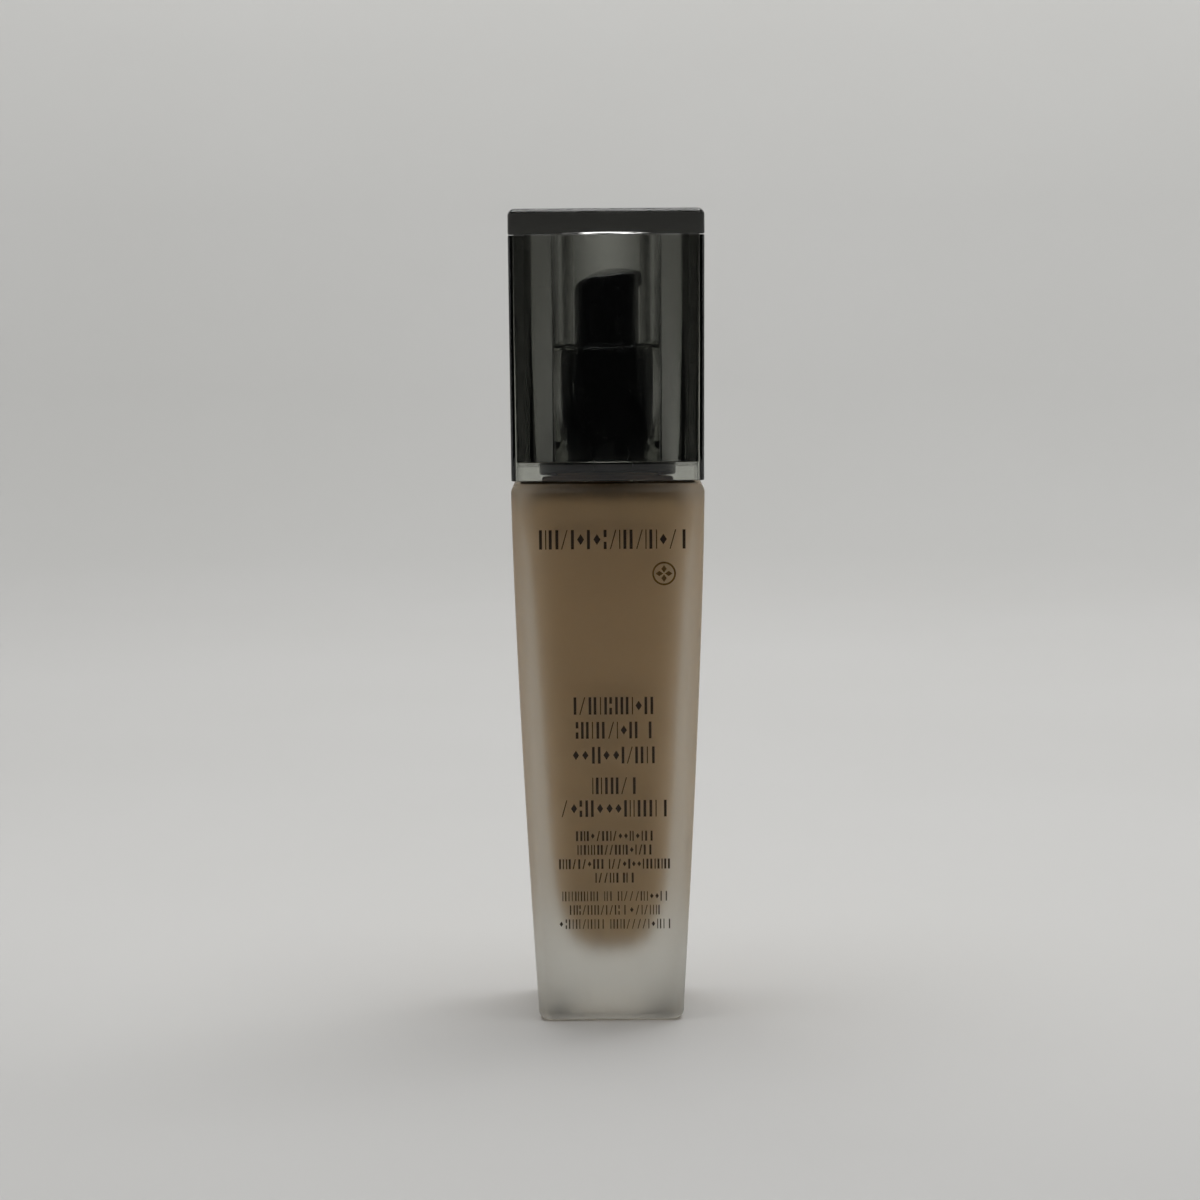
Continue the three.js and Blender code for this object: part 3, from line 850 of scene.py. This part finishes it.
def make_ornament():
    """Four lozenges with a ring round them, in gold."""
    cx, cz, outer, steps = 8.9, 73.9, 1.9, 48
    inner = outer - 0.28

    def polar(radius, turn):
        return cx + radius * math.cos(turn), cz + radius * math.sin(turn)

    outlines = []
    for k in range(steps):
        a, b = 2 * math.pi * k / steps, 2 * math.pi * (k + 1) / steps
        outlines.append(
            [polar(inner, a), polar(outer, a), polar(outer, b), polar(inner, b)]
        )
    for quarter in range(4):
        turn = quarter * math.pi / 2
        outlines.append(
            [
                polar(0.14, turn),
                polar(0.86, turn - 0.51),
                polar(1.36, turn),
                polar(0.86, turn + 0.51),
            ]
        )
    ornament = finished("front_ornament", *plate(outlines))
    ornament.data.materials.append(gold)
    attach(ornament, "bottle")


make_bottle()
make_fluid()
make_cap_core()
make_cap_sleeve()
make_cap_liner()
make_collar()
make_head()
make_spring()
make_print()
make_ornament()

# ---------------------------------------------------------------- CAD nodes that stay

for name, material in {
    "head_core": black,
    "pump_stem": natural,
    "stem_spindle": natural,
    "piston": soft_white,
    "stem_guide": natural,
    "snap_ring": natural,
    "pump_housing": natural,
    "neck_gasket": soft_white,
    "ball_cage": natural,
    "inlet_ball": steel,
    "dip_tube": natural,
}.items():
    nodes[name].data.materials.clear()
    nodes[name].data.materials.append(material)

# ---------------------------------------------------------------- stage, lights and camera

FLOOR_RADIUS = 0.62
SWEEP_RADIUS = 0.25
WALL_TOP = 0.95


def sweep(name, profile, first_angle, last_angle, steps=96):
    """A sector of a surface of revolution from [radius, height] points in metres."""
    angles = np.linspace(math.radians(first_angle), math.radians(last_angle), steps + 1)
    vertices = [(r * math.cos(a), r * math.sin(a), z) for a in angles for r, z in profile]
    rows = len(profile)
    faces = [
        (i * rows + j, (i + 1) * rows + j, (i + 1) * rows + j + 1, i * rows + j + 1)
        for i in range(steps)
        for j in range(rows - 1)
    ]
    mesh = bpy.data.meshes.new(name)
    mesh.from_pydata(vertices, [], faces)
    mesh.validate()
    mesh.shade_smooth()
    made = bpy.data.objects.new(name, mesh)
    made.data.materials.append(painted_light_paper)
    bpy.context.scene.collection.objects.link(made)
    return made


def paper():
    """Pale studio paper with painted light: a little deeper where it turns up, paler higher on the
    wall and a tenth darker towards the back, as the lamps fall; a faint random fibre tone.
    """
    made, tree, shader = new_material("studio_paper_painted_light")
    place = tree.nodes.new("ShaderNodeTexCoord")
    axes = tree.nodes.new("ShaderNodeSeparateXYZ")
    tree.links.new(place.outputs["Object"], axes.inputs["Vector"])
    height = tree.nodes.new("ShaderNodeMapRange")
    height.inputs["From Max"].default_value = 0.3
    tree.links.new(axes.outputs["Z"], height.inputs["Value"])
    # Painted light: the grey dips where the paper turns up and rises higher on the wall, standing
    # in for how the lamps fall.
    painted_light_tone = tree.nodes.new("ShaderNodeValToRGB")
    painted_light_tone.color_ramp.elements[0].color = (0.648, 0.646, 0.638, 1)
    painted_light_tone.color_ramp.elements[1].color = (0.9, 0.9, 0.9, 1)
    for where, grey in ((0.04, 0.625), (0.25, 0.63), (0.5, 0.70), (0.85, 0.88)):
        stop = painted_light_tone.color_ramp.elements.new(where)
        stop.color = (grey, grey, grey * 0.985, 1)
    tree.links.new(height.outputs["Result"], painted_light_tone.inputs["Fac"])
    # Painted shade: the paper is up to a tenth darker towards the back.
    depth = tree.nodes.new("ShaderNodeMapRange")
    depth.interpolation_type = "SMOOTHSTEP"
    depth.inputs["From Min"].default_value = 0.0
    depth.inputs["From Max"].default_value = 0.3
    depth.inputs["To Min"].default_value = 1.0
    depth.inputs["To Max"].default_value = 0.9
    tree.links.new(axes.outputs["Y"], depth.inputs["Value"])
    fibre = tree.nodes.new("ShaderNodeMix")
    fibre.data_type = "RGBA"
    fibre.blend_type = "MULTIPLY"
    fibre.inputs["Factor"].default_value = 1
    tree.links.new(painted_light_tone.outputs["Color"], fibre.inputs["A"])
    tree.links.new(
        colour_between(tree, noise(tree, 6, 2), (0.975, 0.975, 0.97), (1, 1, 1)), fibre.inputs["B"]
    )
    painted_shade_fade = tree.nodes.new("ShaderNodeMix")
    painted_shade_fade.data_type = "RGBA"
    painted_shade_fade.blend_type = "MULTIPLY"
    painted_shade_fade.inputs["Factor"].default_value = 1
    tree.links.new(fibre.outputs["Result"], painted_shade_fade.inputs["A"])
    tree.links.new(depth.outputs["Result"], painted_shade_fade.inputs["B"])
    tree.links.new(painted_shade_fade.outputs["Result"], shader.inputs["Base Color"])
    shader.inputs["Roughness"].default_value = 0.9
    shader.inputs["Specular IOR Level"].default_value = 0.2
    return made


painted_light_paper = paper()
LIT_RADIUS = 0.22  # the floor near the object, lit all round
LIT_FROM, LIT_TO = -10, 190  # degrees round the object from +X that the lit wall spans
floor = [(LIT_RADIUS, 0.0), (FLOOR_RADIUS * 0.6, 0.0), (FLOOR_RADIUS, 0.0)]
wall = [
    (FLOOR_RADIUS + SWEEP_RADIUS * math.sin(a), SWEEP_RADIUS * (1 - math.cos(a)))
    for a in np.linspace(0, math.pi / 2, 13)[1:]
]
wall.append((FLOOR_RADIUS + SWEEP_RADIUS, WALL_TOP))
sweep("studio_floor", [(0.0, 0.0), (LIT_RADIUS, 0.0)], 0, 360, 192)
sweep("studio_back", floor + wall, LIT_FROM, LIT_TO)
# The camera's side is an unlit room. The paper there is only a backdrop for the other views.
unlit = sweep("studio_front", floor + wall, LIT_TO, LIT_FROM + 360)
unlit.visible_diffuse = False
unlit.visible_glossy = False
unlit.visible_transmission = False
unlit.visible_volume_scatter = False
unlit.visible_shadow = False


def area_light(name, size_x, size_y, place, aim, power, colour=(1, 1, 1)):
    lamp = bpy.data.lights.new(name, "AREA")
    lamp.shape = "RECTANGLE"
    lamp.size, lamp.size_y = size_x, size_y
    lamp.energy = power
    lamp.color = colour
    made = bpy.data.objects.new(name, lamp)
    made.location = place
    made.rotation_euler = (Vector(aim) - Vector(place)).to_track_quat("-Z", "Y").to_euler()
    bpy.context.scene.collection.objects.link(made)
    return made


area_light("overhead", 0.8, 0.6, (0, 0.02, 0.9), (0, 0.02, 0), 5.4, (1, 0.995, 0.985))
area_light("backdrop", 0.9, 0.3, (0.16, 0.42, 0.9), (0.22, 0.75, 0.1), 3.3, (1, 0.995, 0.985))

world = bpy.data.worlds.new("studio_world")
world.use_nodes = True
world.node_tree.nodes["Background"].inputs["Color"].default_value = (0.9, 0.95, 1, 1)
world.node_tree.nodes["Background"].inputs["Strength"].default_value = 0.012
scene = bpy.context.scene
scene.world = world

CAMERA_DIP = 6.157  # degrees below level
CAMERA_ROLL = 0.42
camera_data = bpy.data.cameras.new("camera")
camera_data.lens = 91.3
camera_data.sensor_width = 36
camera = bpy.data.objects.new("camera", camera_data)
camera.location = (-0.001, -0.5, 0.122)
camera.rotation_euler = (math.radians(90 - CAMERA_DIP), math.radians(CAMERA_ROLL), 0)
scene.collection.objects.link(camera)
scene.camera = camera
scene.view_settings.view_transform = "Standard"
scene.view_settings.look = "None"
scene.cycles.max_bounces = 40
scene.cycles.transmission_bounces = 40
scene.cycles.glossy_bounces = 12
scene.cycles.diffuse_bounces = 4
